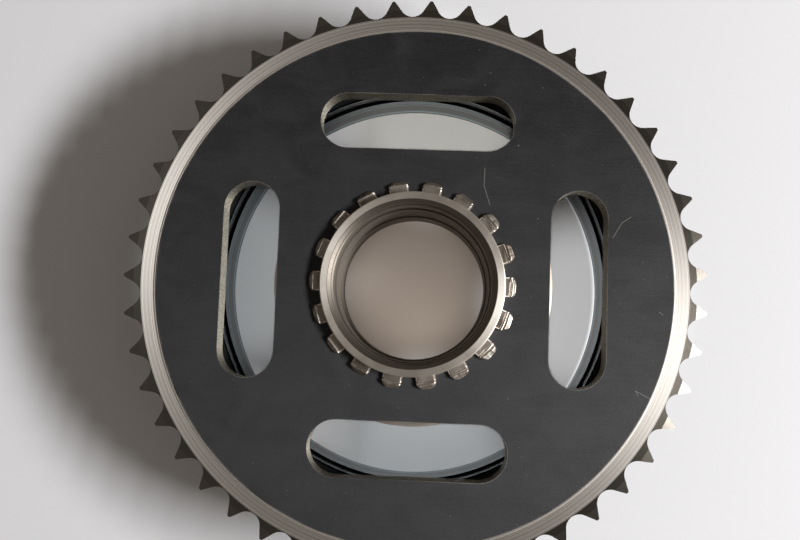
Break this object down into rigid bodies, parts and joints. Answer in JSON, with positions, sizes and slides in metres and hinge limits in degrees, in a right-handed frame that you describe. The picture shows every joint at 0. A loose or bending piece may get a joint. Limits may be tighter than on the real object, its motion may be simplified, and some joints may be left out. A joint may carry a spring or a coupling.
{
  "type": "chain sprocket",
  "caption": "Toothed chain sprocket plate with long slots, staked onto a dogged hub with a bearing bore, and an open drum ring behind.",
  "frame": {"origin": "on the wheel's axis, in the plane of the hub's rear end, on which the part stands", "axes": "+Z along the wheel's axis, from the hub's rear end towards the staked face; +X through the middle of a slot, a dog and a gap between two teeth"},
  "size_m": [0.1936, 0.1938, 0.0375],
  "materials": {
    "black_plate": "black mill scale on the face, bright turned rim and teeth",
    "turned_steel": "turned, with peened dog ends",
    "drum_iron": "turned bore, dark outside"
  },
  "bodies": {
    "root": {"sprocket_plate": "black_plate", "splined_hub": "turned_steel", "drum_ring": "drum_iron"}
  },
  "joints": []
}
